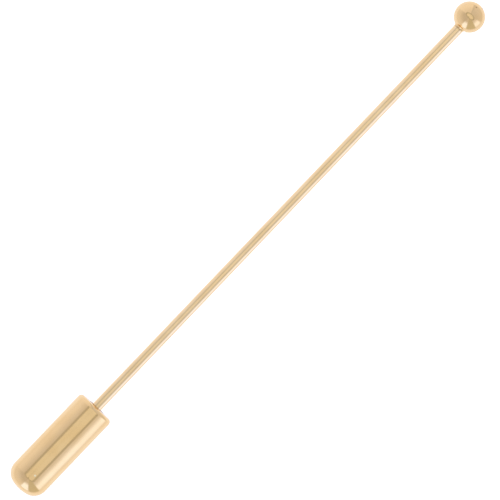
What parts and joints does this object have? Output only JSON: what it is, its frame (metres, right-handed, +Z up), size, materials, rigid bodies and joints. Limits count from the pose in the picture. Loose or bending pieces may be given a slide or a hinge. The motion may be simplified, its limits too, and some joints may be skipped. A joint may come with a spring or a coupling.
{
  "type": "stick pin",
  "caption": "Straight stick pin with a round ball head; a bullet-shaped friction clutch covers its tapered point and pulls off along the wire.",
  "frame": {"origin": "on the pin's axis where the wire meets the foot of the ball head", "axes": "+X along the pin's axis towards the ball head, +Z up, the clutch at -X"},
  "size_m": [0.0635, 0.004, 0.004],
  "materials": {
    "head_gold": "polished gold plate on brass",
    "wire_gold": "polished gold plate on drawn wire",
    "solder": "plated solder, slightly darker",
    "shell_gold": "polished gold plate on drawn brass",
    "nylon": "natural translucent nylon"
  },
  "bodies": {
    "pin": {"ball_head": "head_gold", "pin_wire": "wire_gold", "solder_fillet": "solder"},
    "grip": {"grip_core": "nylon"},
    "shell": {"clutch_shell": "shell_gold"}
  },
  "joints": [
    {"name": "clutch_pull", "type": "slide", "parent": "pin", "child": "grip", "axis": [-1, 0, 0], "range_m": [0, 0.025]},
    {"name": "clutch_turn", "type": "hinge", "parent": "grip", "child": "shell", "pos_m": [-0.0498, 0, 0], "axis": [1, 0, 0], "continuous": true}
  ]
}
